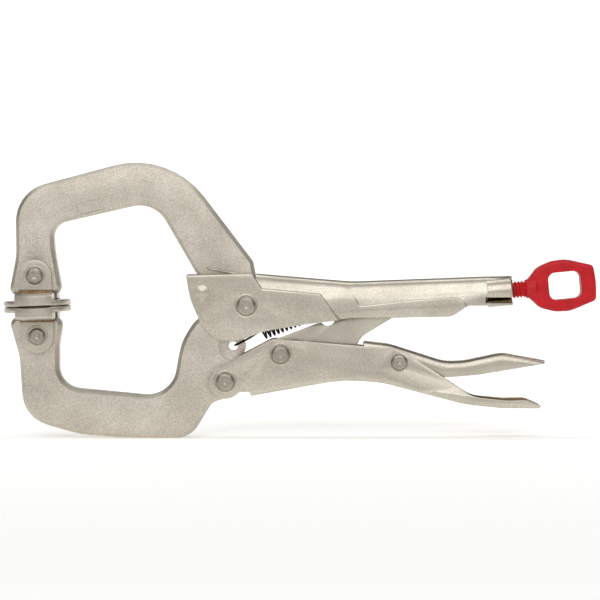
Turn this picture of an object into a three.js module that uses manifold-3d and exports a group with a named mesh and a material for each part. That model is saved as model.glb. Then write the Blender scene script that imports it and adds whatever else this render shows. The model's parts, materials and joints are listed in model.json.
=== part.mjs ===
// Locking C clamp, 11 inch class, with swivel pads and an adjusting screw.
// Millimetres. +X runs along the handles, +Z is up, Y is the thickness of the tool.
// The origin is the centre of the fixed pad's clamping face, and the jaws are shut and locked.
import * as THREE from "three";
import { mergeVertices } from "three/addons/utils/BufferGeometryUtils.js";
import Module from "manifold-3d";

const wasm = await Module();
wasm.setup();
const { Manifold } = wasm;

// Driving dimensions: overall sizes.
const reach = 98.8; // pad axis to main pivot
const jawRise = 73; // pad face to the top corner of the fixed jaw
const jawDrop = 62.4; // pad face to the underside of the movable jaw
const handleLength = 125.3; // main pivot to the end of the screw collar
const leverLength = 138.5; // main pivot to the tail of the lower handle

// Driving dimensions: thicknesses and clearances.
const jawThickness = 9;
const jawRim = 1.7; // width of the sloping rim round a forged jaw
const sheet = 2.4; // wall of the upper and lower handles
const sideClearance = 0.35; // between a cheek and what moves inside it
const gap = 0.3; // between pieces that touch
const linkThickness = 6;
const releaseSheet = 1.5;
const leverFlare = 0.6; // how much wider the lower handle gets towards its tail, as a share
const pressStep = 0.45; // depth of each pressed step in the handles
const crown = 11; // height of the arched top of the upper handle
const webFront = 4.6; // main pivot to where the top web of the upper handle starts
const skirtEnd = handleLength - 28.5; // main pivot to the end of the straight skirt
const bossRadius = 7.4; // of the movable jaw, round the main pivot

// Driving dimensions: pads.
const padRadius = 15.8;
const padThickness = 2.6;
const clevisRadius = 8.7;
const clevisTop = 6; // top of the clevis plate above the pad face
const lipThickness = 1.3; // of the clevis where it is folded down over the rim of the disc
const lipHeight = 0.5; // lower edge of that lip above the pad face
const clevisFloor = 1.8; // underside of the clevis floor, in the pad's recess
const earThickness = 2;
const earRadius = 7.8;
const padPinHeight = 14; // pad face to pad pin

// Driving dimensions: rivets and screw, as radii and lengths.
const mainShank = 3.2;
const mainHead = 4.45;
const leverShank = 3;
const leverHead = 4.3;
const releaseShank = 2.4;
const releaseHead = 3.75;
const padPinShank = 2.4;
const padPinHead = 3.9;
const setPinRadius = 1.9;
const headHeight = 1.3;
const screwRadius = 4;
const screwClearance = 0.35;
const collarRadius = screwRadius + screwClearance + 2.7; // the sheet rolled round the bore
const collarLength = 11.8;
const toeRadius = 5.5;
const toeGap = 4.5; // between the link's toe and the screw's tip, where the linkage is open
const exposedThread = 6.6;
const knobThickness = 7.5;
const knobLength = 33.4;
const knobHoleRadius = 3.3;
const wire = 0.45;
const coilRadius = 2.05;
const coilPitch = 2.5;
const hookHole = 2.15;
const hookRecess = 2.3; // depth of the movable jaw's recess round the hook's hole, on each side

const smallestFeature = 0.01; // slivers that booleans leave under this size are merged away

const degree = Math.PI / 180;
const screwTilt = 5.4 * degree;
const padTilt = 2.05 * degree;
const innerWidth = jawThickness + 2 * sideClearance;
const outerWidth = innerWidth + 2 * sheet;
const releaseWidth = innerWidth - 2 * sideClearance;

// Pivots and other fixed points, as { x, z }.
const point = (x, z) => ({ x, z });
const pivot = point(reach, 0); // fixed handle to movable jaw
const leverPivot = point(pivot.x - 9.9, -35.7); // movable jaw to lower handle
const linkPivot = point(pivot.x + 16.1, -22.8); // lower handle to toggle link
const toe = point(pivot.x + 64.7, 1.5); // toggle link against the screw's tip
const releasePivot = point(pivot.x + 72, -26.5);
const springHook = point(pivot.x - 6.3, -19.1);
const springAnchor = point(pivot.x + 39.3, -1.8);
const setPin = point(pivot.x - 20.6, 6.7);
const screwDirection = point(Math.cos(screwTilt), Math.sin(screwTilt));
const alongScrew = (s) => point(toe.x + s * screwDirection.x, toe.z + s * screwDirection.z);
const collarEndS = (pivot.x + handleLength - toe.x) / screwDirection.x;
const collar = alongScrew(collarEndS);
// Distances from the toe along the screw: its domed tip, its thread and its end in the knob.
const tipStart = toeRadius + toeGap;
const tipLength = 4;
const screwStart = tipStart + tipLength + gap;
const screwEnd = collarEndS + exposedThread;
const tail = point(pivot.x + leverLength, -46.9);

// Outline points [x, z, fillet radius] given from an anchor.
const from = (anchor, points) => points.map(([x, z, r = 0]) => [anchor.x + x, anchor.z + z, r]);

// A closed outline whose corners are rounded by arcs of their own radius.
function outline(points, step = 9 * degree) {
  const corners = points.map(([x, z, r = 0]) => ({ p: new THREE.Vector2(x, z), r }));
  const path = [];
  corners.forEach(({ p, r }, i) => {
    const before = corners.at(i - 1).p.clone().sub(p);
    const after = corners[(i + 1) % corners.length].p.clone().sub(p);
    const cosine = before.dot(after) / (before.length() * after.length());
    const half = Math.acos(THREE.MathUtils.clamp(cosine, -1, 1)) / 2;
    const turn = Math.PI - 2 * half;
    if (r <= 0 || turn < 1e-3) {
      path.push(p);
      return;
    }
    const cut = Math.min(r / Math.tan(half), 0.49 * before.length(), 0.49 * after.length());
    const radius = cut * Math.tan(half);
    const middle = before.normalize().clone().add(after.normalize()).normalize();
    const centre = p.clone().addScaledVector(middle, radius / Math.sin(half));
    const start = p.clone().addScaledVector(before, cut).sub(centre);
    const way = Math.sign(before.cross(after)) * -1;
    const pieces = Math.max(2, Math.ceil(turn / step));
    for (let k = 0; k <= pieces; k += 1) {
      path.push(start.clone().rotateAround(new THREE.Vector2(), (way * turn * k) / pieces).add(centre));
    }
  });
  return new THREE.Shape(path);
}

// A three.js geometry as a manifold solid.
function solid(geometry) {
  const bare = geometry.index ? geometry.toNonIndexed() : geometry.clone();
  bare.deleteAttribute("normal");
  bare.deleteAttribute("uv");
  const merged = mergeVertices(bare, 1e-4);
  const vertProperties = merged.attributes.position.array;
  const triVerts = new Uint32Array(merged.index.array);
  return new Manifold(new wasm.Mesh({ numProp: 3, vertProperties, triVerts }));
}

// An outline in X and Z made thick about y = centre, its edges drawn in by a rim of a given width and depth.
function plate(points, thickness, { centre = 0, rim = 0, rimDepth = rim, rimSteps = 1 } = {}) {
  const geometry = new THREE.ExtrudeGeometry(outline(points), {
    depth: thickness - 2 * rimDepth,
    bevelEnabled: rim > 0,
    bevelSize: rim,
    bevelOffset: -rim,
    bevelThickness: rimDepth,
    bevelSegments: rimSteps,
  });
  geometry.rotateX(Math.PI / 2);
  return solid(geometry.translate(0, centre + (thickness - 2 * rimDepth) / 2, 0));
}

// A cylinder across the tool, about y = centre.
function disc(at, radius, thickness, { centre = 0, sides = 32 } = {}) {
  return solid(new THREE.CylinderGeometry(radius, radius, thickness, sides).translate(at.x, centre, at.z));
}

const union = (...parts) => Manifold.union(parts);
const cut = (body, ...tools) => tools.reduce((rest, tool) => rest.subtract(tool), body);

// A body of revolution about the screw's axis: profile points are [radius, distance from the toe].
function turned(profile, sides = 28) {
  const points = profile.map(([r, s]) => new THREE.Vector2(r, s));
  const geometry = new THREE.LatheGeometry(points, sides).rotateZ(-Math.PI / 2).rotateY(-screwTilt);
  return solid(geometry).translate([toe.x, 0, toe.z]);
}

// A rivet across the tool: a shank with a low domed head on each side of a stack of the given width.
function rivet(at, shank, head, width) {
  const face = width / 2 + gap;
  const half = [
    [shank, face],
    [head, face],
    [head, face + 0.45 * headHeight],
    [head - 0.7, face + headHeight],
    [0, face + headHeight],
  ];
  const mirror = half.map(([r, y]) => [r, -y]).reverse();
  const profile = [...mirror, ...half].map(([r, y]) => new THREE.Vector2(r, y));
  return solid(new THREE.LatheGeometry(profile, 28).translate(at.x, 0, at.z));
}

const finishes = {
  forged: { color: 0xb4aea6, roughness: 0.5, metalness: 0.9 },
  sheet: { color: 0xbab5ad, roughness: 0.38, metalness: 0.95 },
  rivet: { color: 0xa9a39b, roughness: 0.42, metalness: 0.95 },
  black: { color: 0x1b1b1d, roughness: 0.45, metalness: 0.6 },
  red: { color: 0xd01824, roughness: 0.35, metalness: 0.0 },
};

const clamp = new THREE.Group();

// Adds a manifold solid to the clamp as a named mesh with its own material.
function add(name, body, finish) {
  const { vertProperties, triVerts } = body.simplify(smallestFeature).getMesh();
  const geometry = new THREE.BufferGeometry();
  geometry.setAttribute("position", new THREE.BufferAttribute(new Float32Array(vertProperties), 3));
  geometry.setIndex(new THREE.BufferAttribute(new Uint32Array(triVerts), 1));
  geometry.computeVertexNormals();
  const mesh = new THREE.Mesh(geometry, new THREE.MeshStandardMaterial(finishes[finish]));
  mesh.name = name;
  clamp.add(mesh);
}

// Upper handle: two cheeks in front, an arched channel behind that is pressed in twice, and the collar.
function upperHandle() {
  const below = from(pivot, [[8, -12], [25.2, -9, 60], [50, -5.9, 60]]);
  const side = [
    ...from(pivot, [[-28.3, 20], [-28.3, 14.7], [-26.4, 3.5, 26], [-20.6, -10, 14]]),
    ...from(pivot, [[-14, -15.6, 9], [-7, -16.3, 12], [-1.6, -15.6, 5]]),
    ...below,
    ...from(pivot, [[skirtEnd, -5, 7], [skirtEnd + 7.4, 0.1, 4], [handleLength, 0.3], [handleLength, 27]]),
    ...from(pivot, [[webFront + 1, 27]]),
  ];
  const cheeks = [
    ...from(pivot, [[-50, 14.2], [-50, -40], [50, -40], [50, -14.3], [35.1, 5.8]]),
    ...from(pivot, [[7.4, 8.4], [3.8, 13.9], [3, 15.3]]),
  ];
  const top = from(pivot, [[49.7, 11.4, 60], [webFront - crown, 16.1]]);
  const arch = [
    ...top,
    ...from(pivot, [[webFront - crown, -40]]),
    ...from(collar, [[30, -60], [30, collarRadius], [-collarLength, collarRadius - 0.5, 80]]),
  ];
  // The first press: the middle of the channel, and its skirts right to their end.
  const firstPress = [
    ...from(pivot, [[-40, 40], [-40, -40], [130, -40], [102.8, 1.8], [98.1, 4.3], [91, 3.9]]),
    ...from(pivot, [[75.1, 2.6], [64.2, 1.3], [53.6, 0.2, 2], [47, 11], [42, 40]]),
  ];
  const skirts = [
    ...from(pivot, [[-20, 60], [-20, -14]]),
    ...below,
    ...from(pivot, [[skirtEnd + 60, -5], [skirtEnd + 60, 60]]),
  ];
  const frontCavity = from(pivot, [[-45, 40], [-45, -45], [webFront, -45], [webFront, 40]]);
  const lowered = top.map(([x, z, r]) => [x, z - sheet, r]);
  const rearCavity = [
    ...lowered,
    ...from(pivot, [[webFront - crown, -60]]),
    ...from(collar, [[-collarLength - 0.6, -60], [-collarLength - 0.6, collarRadius - 0.5 - sheet]]),
  ];
  const middleWidth = outerWidth - 2 * pressStep;
  const middle = plate(arch, middleWidth, { rim: crown, rimDepth: 5.2, rimSteps: 9 })
    .intersect(plate(firstPress, middleWidth, { rim: 0.9, rimDepth: 0.6, rimSteps: 3 }))
    .intersect(plate(skirts, middleWidth, { rim: 4.5, rimDepth: 0.9, rimSteps: 4 }));
  const rear = plate(arch, middleWidth - 2 * pressStep, { rim: crown, rimDepth: 5, rimSteps: 9 });
  const rolled = plate(skirts, outerWidth, { rim: 4.5, rimDepth: 1.6, rimSteps: 4 });
  const outer = union(
    plate(cheeks, outerWidth, { rim: 1.3, rimDepth: 0.8, rimSteps: 3 }),
    middle,
    rear.intersect(rolled),
  ).intersect(plate(side, outerWidth + 2));
  const tab = plate(from(springAnchor, [[-3, 12.4], [-3, -3, 2.5], [3, -3, 2.5], [3, 12.4]]), sheet);
  const ring = turned([
    [0, collarEndS - collarLength],
    [collarRadius, collarEndS - collarLength],
    [collarRadius, collarEndS - 0.6],
    [collarRadius - 0.6, collarEndS],
    [0, collarEndS],
  ]);
  const bore = turned([
    [0, screwStart - gap],
    [screwRadius + screwClearance, screwStart - gap],
    [screwRadius + screwClearance, collarEndS + 1],
    [0, collarEndS + 1],
  ]);
  // The sheet that the collar is rolled from doesn't quite meet itself, low on the front side.
  const seamTop = -0.45 * collarRadius;
  const seamBottom = -0.85 * collarRadius;
  const seamStart = -collarLength - 1;
  const seam = plate(
    from(collar, [[seamStart, seamBottom], [seamStart, seamTop], [1, seamTop], [1, seamBottom]]),
    collarRadius,
    { centre: -0.6 * collarRadius },
  );
  const hollow = union(
    plate(frontCavity, innerWidth),
    plate(rearCavity, innerWidth, { rim: 8, rimDepth: 3.3, rimSteps: 7 }),
  );
  return cut(
    union(cut(outer, hollow), tab, ring),
    bore,
    seam,
    disc(pivot, mainShank + gap, outerWidth + 2),
    disc(setPin, setPinRadius + gap, outerWidth + 2, { sides: 20 }),
    disc(springAnchor, 1.3, innerWidth, { sides: 16 }),
  );
}

function fixedJaw() {
  const points = [
    [-13.4, 4.6, 3.8], [-9.6, 23.4, 28], [-9.9, jawRise - 19.3, 18.3],
    ...from(pivot, [[-36.4, jawRise, 40], [3.2, 20.9, 2], [4.3, 15.5], [4.3, 4], [-10, 2.7]]),
    ...from(pivot, [[-23.2, 2.7, 2], [-26.2, 13.1], [-23.2, 14.5]]),
    [pivot.x - 43.2, jawRise - 23.7, 14.6], [7.8, jawRise - 34.7, 14.6], [8.4, 26.2, 14.1], [12, 5.6, 3.8],
  ];
  return cut(
    plate(points, jawThickness, { rim: jawRim, rimDepth: 1.9 }),
    disc(pivot, bossRadius + 0.8, jawThickness + 2),
    disc(setPin, setPinRadius + gap, jawThickness + 2, { sides: 20 }),
    disc(padPin(1), padPinShank + gap, jawThickness + 2, { sides: 24 }),
  );
}

function movableJaw() {
  const points = [
    [-13.6, -5.2, 3.8], [-8.2, -24.1, 28], [-6.5, 9.4 - jawDrop, 16],
    [20, 1.5 - jawDrop, 50], [44.2, -jawDrop, 56],
    ...from(pivot, [[-26.5, -jawDrop, 11.8], [-16.1, -45.7, 5], [-9.5, -43.6, 3]]),
    ...from(pivot, [[-3, -38.6, 4], [-1.4, -15, 6], [5, -5, 3], [-2, 0], [-8, -1.5]]),
    ...from(pivot, [[-22.2, -4.3, 14], [-30.7, -16.5, 28]]),
    [pivot.x - 35.4, 19 - jawDrop, 14.1], [10.3, 24.1 - jawDrop, 12.2], [10.3, -18.4, 14.1],
    [12.5, -5.4, 3.8],
  ];
  const recess = (way) => disc(springHook, 6.8, 2 * hookRecess, { centre: (way * jawThickness) / 2 });
  return cut(
    union(
      plate(points, jawThickness, { rim: jawRim, rimDepth: 1.9 }),
      disc(pivot, bossRadius, jawThickness),
      disc(leverPivot, 8.2, jawThickness),
      disc(springHook, 6, jawThickness),
    ),
    recess(1),
    recess(-1),
    disc(pivot, mainShank + gap, jawThickness + 2),
    disc(leverPivot, leverShank + gap, jawThickness + 2),
    disc(springHook, hookHole, jawThickness + 2, { sides: 20 }),
    disc(padPin(-1), padPinShank + gap, jawThickness + 2, { sides: 24 }),
  );
}

// Lower handle: a channel with its web below, open in front of the web for the movable jaw.
function lowerHandle() {
  const bottom = [
    ...from(tail, [[0, 0], [-1, -1.1], [-19, -1, 40], [-36, 0.6, 60]]),
    ...from(pivot, [[64, -36.2, 40], [46, -34.7, 60], [2.2, -42.4]]),
  ];
  const body = [
    ...from(leverPivot, [[-2.6, 7.14]]),
    ...from(pivot, [[12.5, -15.4, 7], [73, -20.4, 16]]),
    ...from(tail, [[-32, 4, 16], [-16.5, 2.4], [-6.5, 2.6, 6]]),
    ...bottom,
    ...from(pivot, [[1.5, -40.4], [-3, -40.5, 3]]),
    ...from(leverPivot, [[1.9, -7.3]]),
  ];
  const web = bottom.map(([x, z, r]) => [x, z + sheet, r]);
  const cavity = [
    ...from(leverPivot, [[-20, 40]]),
    ...from(tail, [[10, 50], [10, sheet - 1]]),
    ...web.slice(2, -1),
    ...from(pivot, [[1, -40.2], [1, -60]]),
    ...from(leverPivot, [[-20, -30]]),
  ];
  // The bend between web and cheeks: only the lower edge of this outline lies on the handle's own.
  const bend = [
    ...from(tail, [[30, 60], [30, 0]]),
    ...bottom,
    ...from(pivot, [[-60, -53.5], [-60, 60]]),
  ];
  const pocket = [
    ...from(pivot, [[52, -14], [55.9, -20.8], [60.9, -30, 2], [79, -38.2, 6]]),
    ...from(pivot, [[82.4, -41.5], [110, -36], [75, -10]]),
  ];
  const pockets = [-1, 1].map((way) => plate(pocket, 2 * pressStep, { centre: (way * outerWidth) / 2 }));
  const spread = (x) => 1 + leverFlare * THREE.MathUtils.smoothstep(x, tail.x - 46, tail.x - 6);
  const bent = plate(bend, outerWidth, { rim: 2.2, rimDepth: 1.7, rimSteps: 4 });
  const outer = plate(body, outerWidth).intersect(bent);
  return cut(
    union(outer, disc(leverPivot, 7.6, outerWidth)),
    plate(cavity, innerWidth),
    ...pockets,
    disc(leverPivot, leverShank + gap, outerWidth + 2),
    disc(linkPivot, leverShank + gap, outerWidth + 2),
    disc(releasePivot, releaseShank + gap, outerWidth + 2, { sides: 24 }),
  ).warp((vertex) => {
    vertex[1] *= spread(vertex[0]);
  });
}

function toggleLink() {
  const points = [
    ...from(pivot, [[10, -17.4, 4], [33.5, -8.6], [46, -6.6, 3], [50, 4.6, 4]]),
    ...from(toe, [[-0.5, toeRadius], [toeRadius - 0.2, -1.5, 3], [3.8, -7.5, 2]]),
    ...from(pivot, [[55.3, -14], [53.2, -16.5, 1.5], [50.5, -24, 3], [39, -26.6, 12]]),
    ...from(linkPivot, [[1, -6.4]]),
  ];
  return cut(
    union(
      plate(points, linkThickness),
      disc(linkPivot, 6.5, linkThickness),
      disc(toe, toeRadius, linkThickness),
    ),
    disc(point(pivot.x + 38.4, -6.3), 3.4, linkThickness + 2, { sides: 24 }),
    disc(linkPivot, leverShank + gap, linkThickness + 2),
  );
}

// Release lever: a narrow channel open below, with its tail flattened into a finger tab.
function releaseLever() {
  const points = [
    ...from(pivot, [[54.9, -16.5, 1], [67.5, -18, 24]]),
    ...from(tail, [[-45, 20.6, 22], [-36, 20.9, 30], [-18, 24.7, 12], [2.3, 21], [2.2, 19.6]]),
    ...from(tail, [[-28.7, 14.4, 30], [-43.2, 13.2]]),
    ...from(releasePivot, [[6, -6, 4], [-6, -6, 4], [-15.6, 3, 2]]),
  ];
  const inside = [
    ...from(pivot, [[50, -16 - releaseSheet], [67.5, -18 - releaseSheet, 24]]),
    ...from(tail, [[-45, 20.6 - releaseSheet, 22], [-36, 20.9 - releaseSheet, 30]]),
    ...from(tail, [[-19, 24 - releaseSheet, 10], [-9, 20.4], [-9, 0], [-60, 0]]),
    ...from(releasePivot, [[-30, -12]]),
  ];
  // The rounded back: only the upper edge of this outline lies on the lever's own.
  const back = [...from(pivot, [[20, -12.4]]), ...points.slice(1, 5)];
  const crowned = [...back, ...from(tail, [[30, 16], [30, -40], [-140, -40]])];
  return cut(
    plate(points, releaseWidth),
    plate(inside, releaseWidth - 2 * releaseSheet, { rim: 2.6, rimDepth: 1.6, rimSteps: 4 }),
    disc(releasePivot, releaseShank + gap, releaseWidth + 2, { sides: 24 }),
  ).intersect(plate(crowned, releaseWidth, { rim: 4, rimDepth: 2.4, rimSteps: 6 }));
}

function screwTip() {
  return turned([
    [0, tipStart],
    [1.6, tipStart + 0.2],
    [3.2, tipStart + 1.6],
    [3.2, tipStart + tipLength],
    [0, tipStart + tipLength],
  ]);
}

function adjustingScrew() {
  return turned([
    [0, screwStart],
    [screwRadius - 0.6, screwStart],
    [screwRadius, screwStart + 0.8],
    [screwRadius, screwEnd - gap],
    [0, screwEnd - gap],
  ]);
}

// Thumb knob: a flat paddle with a finger hole on a round neck, made along +X and tilted with the screw.
function thumbKnob() {
  const half = [[1, 4], [6, 9.6, 8], [13, 12, 10], [20, 12.3, 12], [knobLength - 0.8, 8.3, 2]];
  const paddle = [...half, [knobLength, 0, 30], ...half.map(([x, z, r]) => [x, -z, r]).reverse()];
  const hole = [[10.8, -6.4], [10.8, 6.4], [26.1, 6.4], [26.1, -6.4]]
    .map(([x, z]) => [x, z, knobHoleRadius]);
  const round = new THREE.CylinderGeometry(screwRadius + 1, screwRadius + 0.4, 5, 28);
  const neck = solid(round.rotateZ(-Math.PI / 2).translate(2.5, 0, 0));
  const at = alongScrew(screwEnd);
  const solidPaddle = union(plate(paddle, knobThickness, { rim: 1.4, rimSteps: 2 }), neck);
  return cut(solidPaddle, plate(hole, knobThickness + 2))
    .rotate([0, -screwTilt / degree, 0])
    .translate([at.x, 0, at.z]);
}

// Spring: a hook through the movable jaw, close coils, and a hook through the upper handle's tab.
function tensionSpring() {
  const start = new THREE.Vector3(springHook.x, 0, springHook.z);
  const end = new THREE.Vector3(springAnchor.x, 0, springAnchor.z);
  const axis = end.clone().sub(start).normalize();
  const up = new THREE.Vector3(-axis.z, 0, axis.x);
  const across = new THREE.Vector3(0, 1, 0);
  const along = (s) => start.clone().addScaledVector(axis, s);
  const place = (s, u, y) => along(s).addScaledVector(up, u).addScaledVector(across, y);
  const length = start.distanceTo(end);
  const coilStart = 15;
  const coilEnd = length - 4.5;
  const turns = Math.round((coilEnd - coilStart) / coilPitch);
  const steps = 10;
  const face = jawThickness / 2 - hookRecess; // what the hook goes through is this thick on each side
  const hook = [
    [-0.9, 0, -face - 1], [-0.9, 0, 0], [0.2, 0.6, face + 0.4],
    [4, 0.9, face + 1], [9, 0.7, face - 0.2],
  ];
  const points = hook.map(([s, u, y]) => place(s, u, y));
  for (let k = 0; k <= turns * steps; k += 1) {
    const angle = (k / steps) * 2 * Math.PI;
    const s = coilStart + ((coilEnd - coilStart) * k) / (turns * steps);
    points.push(place(s, coilRadius * Math.cos(angle), coilRadius * Math.sin(angle)));
  }
  points.push(place(length - 2, 1.2, 2.2), place(length + 0.5, 0, 1.9));
  points.push(place(length + 0.4, 0, 0), place(length + 0.3, 0, -1.9));
  const sides = 6;
  const middle = new THREE.Vector2();
  const corner = (_, k) => new THREE.Vector2(wire, 0).rotateAround(middle, (2 * Math.PI * k) / sides);
  const section = new THREE.Shape(Array.from({ length: sides }, corner));
  const extrudePath = new THREE.CatmullRomCurve3(points, false, "centripetal");
  const settings = { steps: points.length + 14, extrudePath, bevelEnabled: false };
  return solid(new THREE.ExtrudeGeometry(section, settings));
}

// The pads are turned about the origin, so that both pins and both discs share one leaning axis.
function padPin(way) {
  const height = way > 0 ? padPinHeight : -padPinHeight - gap;
  return point(-height * Math.sin(padTilt), height * Math.cos(padTilt));
}

// Sets a pad piece, built upright above its face, on the fixed side (way 1) or the moving side (way -1).
function onPad(body, way) {
  const turnedOver = way > 0 ? body : body.rotate([180, 0, 0]).translate([0, 0, -gap]);
  return turnedOver.rotate([0, -padTilt / degree, 0]);
}

function upright(profile, sides) {
  const points = profile.map(([r, z]) => new THREE.Vector2(r, z));
  return solid(new THREE.LatheGeometry(points, sides).rotateX(Math.PI / 2));
}

function padDisc() {
  const recessRadius = clevisRadius + gap;
  return upright(
    [
      [0, 0],
      [padRadius - 0.5, 0],
      [padRadius, 0.5],
      [padRadius, padThickness - 0.6],
      [padRadius - 0.6, padThickness],
      [recessRadius, padThickness],
      [recessRadius, clevisFloor - gap],
      [0, clevisFloor - gap],
    ],
    64,
  );
}

// A clevis folded down over the disc's rim at the front and the back, with an ear on each side of the jaw.
// Its floor falls away to both sides, so that the pad can tilt under the jaw's end.
function padClevis() {
  const width = innerWidth + 2 * earThickness;
  const earTop = padPinHeight + earRadius;
  const ear = [
    [-earRadius, 4], [earRadius, 4],
    [earRadius, earTop, earRadius], [-earRadius, earTop, earRadius],
  ];
  const edge = clevisFloor + 0.8;
  const middle = clevisFloor + 1.9;
  const far = 2 * padRadius;
  const seat = upright([[0, clevisFloor], [clevisRadius, clevisFloor], [clevisRadius, 4], [0, 4]], 40);
  const overDisc = padRadius + gap;
  const lipRadius = overDisc + lipThickness;
  const saddle = upright(
    [
      [0, lipHeight],
      [lipRadius - 0.2, lipHeight],
      [lipRadius, lipHeight + 0.3],
      [lipRadius, clevisTop - 1.6],
      [lipRadius - 0.6, clevisTop - 0.6],
      [lipRadius - 1.8, clevisTop],
      [0, clevisTop],
    ],
    64,
  );
  const strip = [[-clevisRadius, 0], [clevisRadius, 0], [clevisRadius, 10], [-clevisRadius, 10]];
  const folded = cut(
    saddle.intersect(plate(strip, 3 * lipRadius)),
    upright([[0, -1], [overDisc, -1], [overDisc, padThickness + gap], [0, padThickness + gap]], 64),
  );
  const channel = [
    [-clevisRadius, edge], [-3, middle], [3, middle], [clevisRadius, edge],
    [far, edge], [far, 60], [-far, 60], [-far, edge],
  ];
  return cut(
    union(seat, folded, plate(ear, width)),
    plate(channel, innerWidth),
    disc(point(0, padPinHeight), padPinShank + gap, width + 2, { sides: 24 }),
  );
}

function addPad(side, way) {
  add(`${side}_pad_disc`, onPad(padDisc(), way), "forged");
  add(`${side}_pad_clevis`, onPad(padClevis(), way), "forged");
  add(`${side}_pad_pin`, rivet(padPin(way), padPinShank, padPinHead, innerWidth + 2 * earThickness), "rivet");
}

add("upper_handle", upperHandle(), "sheet");
add("fixed_jaw", fixedJaw(), "forged");
add("fixed_jaw_pin", disc(setPin, setPinRadius, outerWidth - 0.4, { sides: 20 }), "rivet");
add("main_rivet", rivet(pivot, mainShank, mainHead, outerWidth), "rivet");
add("movable_jaw", movableJaw(), "forged");
add("lower_handle", lowerHandle(), "sheet");
add("jaw_lever_rivet", rivet(leverPivot, leverShank, leverHead, outerWidth), "rivet");
add("link_rivet", rivet(linkPivot, leverShank, leverHead, outerWidth), "rivet");
add("toggle_link", toggleLink(), "sheet");
add("release_lever", releaseLever(), "sheet");
add("release_lever_rivet", rivet(releasePivot, releaseShank, releaseHead, outerWidth), "rivet");
add("screw_tip", screwTip(), "sheet");
add("adjusting_screw", adjustingScrew(), "sheet");
add("thumb_knob", thumbKnob(), "red");
add("tension_spring", tensionSpring(), "black");
addPad("fixed", 1);
addPad("moving", -1);

export default clamp;
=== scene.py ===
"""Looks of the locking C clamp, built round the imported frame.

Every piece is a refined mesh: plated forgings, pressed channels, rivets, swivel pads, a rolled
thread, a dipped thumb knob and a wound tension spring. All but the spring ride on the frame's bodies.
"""

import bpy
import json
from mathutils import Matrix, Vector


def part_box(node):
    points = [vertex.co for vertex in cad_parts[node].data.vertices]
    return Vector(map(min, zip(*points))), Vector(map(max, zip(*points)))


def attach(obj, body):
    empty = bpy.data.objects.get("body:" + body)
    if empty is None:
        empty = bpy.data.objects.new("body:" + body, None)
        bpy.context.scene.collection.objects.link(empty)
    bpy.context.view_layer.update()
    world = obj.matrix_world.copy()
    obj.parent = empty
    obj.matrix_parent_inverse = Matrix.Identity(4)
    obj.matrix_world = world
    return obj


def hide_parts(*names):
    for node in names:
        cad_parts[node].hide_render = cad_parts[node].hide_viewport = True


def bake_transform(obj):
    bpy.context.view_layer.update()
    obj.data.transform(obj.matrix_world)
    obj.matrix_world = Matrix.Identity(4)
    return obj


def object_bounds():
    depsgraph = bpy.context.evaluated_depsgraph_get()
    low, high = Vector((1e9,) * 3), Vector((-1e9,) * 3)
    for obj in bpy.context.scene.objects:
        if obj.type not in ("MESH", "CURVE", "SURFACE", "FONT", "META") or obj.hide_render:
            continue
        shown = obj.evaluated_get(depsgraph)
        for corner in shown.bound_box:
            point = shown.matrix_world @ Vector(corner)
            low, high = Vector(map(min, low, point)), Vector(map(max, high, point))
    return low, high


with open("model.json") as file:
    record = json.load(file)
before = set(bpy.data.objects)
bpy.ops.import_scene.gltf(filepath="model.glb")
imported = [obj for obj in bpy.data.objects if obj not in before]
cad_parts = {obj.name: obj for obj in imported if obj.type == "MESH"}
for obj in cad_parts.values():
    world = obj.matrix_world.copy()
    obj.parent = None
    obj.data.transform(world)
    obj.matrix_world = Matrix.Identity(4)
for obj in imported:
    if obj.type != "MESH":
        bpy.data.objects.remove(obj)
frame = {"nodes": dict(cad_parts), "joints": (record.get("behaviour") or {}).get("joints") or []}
cad_box = [list(corner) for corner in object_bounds()]

import functools
import json
import logging
import math
from dataclasses import dataclass
from enum import Enum
from typing import Callable, Sequence

import bpy
from mathutils import Matrix, Vector

MM = 0.001
CAD_STEP = 0.00001  # vertices of a CAD mesh closer than this are one vertex

logging.basicConfig(level=logging.INFO, format="%(name)s: %(message)s")
log = logging.getLogger("clamp")


class Body(Enum):
    """The rigid bodies of the frame that pieces ride on."""

    UPPER_HANDLE = "upper_handle"
    MOVABLE_JAW = "movable_jaw"
    LOWER_HANDLE = "lower_handle"
    TOGGLE_LINK = "toggle_link"
    RELEASE_LEVER = "release_lever"
    SCREW_TIP = "screw_tip"
    SCREW = "adjusting_screw"
    FIXED_PAD = "fixed_pad"
    MOVING_PAD = "moving_pad"


class Slot(Enum):
    """The record's material slots."""

    SHEET = "sheet_steel"
    FORGED = "forged_steel"
    PAD = "pad_steel"
    RIVET = "rivet_steel"
    SCREW = "screw_steel"
    RED = "red_coating"
    SPRING = "black_spring"


def linear(hex_colour: str) -> tuple[float, float, float, float]:
    """Turns an sRGB hex colour into linear RGBA.

    Args:
        hex_colour: six hex digits, with or without a leading #.

    Returns:
        The linear red, green, blue and an alpha of 1.
    """
    digits = hex_colour.lstrip("#")
    channels = [int(digits[i : i + 2], 16) / 255 for i in (0, 2, 4)]
    red, green, blue = (c / 12.92 if c <= 0.04045 else ((c + 0.055) / 1.055) ** 2.4 for c in channels)
    return red, green, blue, 1.0


def per_metre(size_mm: float) -> float:
    """Gives the texture scale at which one feature is size_mm across."""
    return 1 / (size_mm * MM)


# ---------------------------------------------------------------------------------------------
# Node trees
# ---------------------------------------------------------------------------------------------


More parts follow.
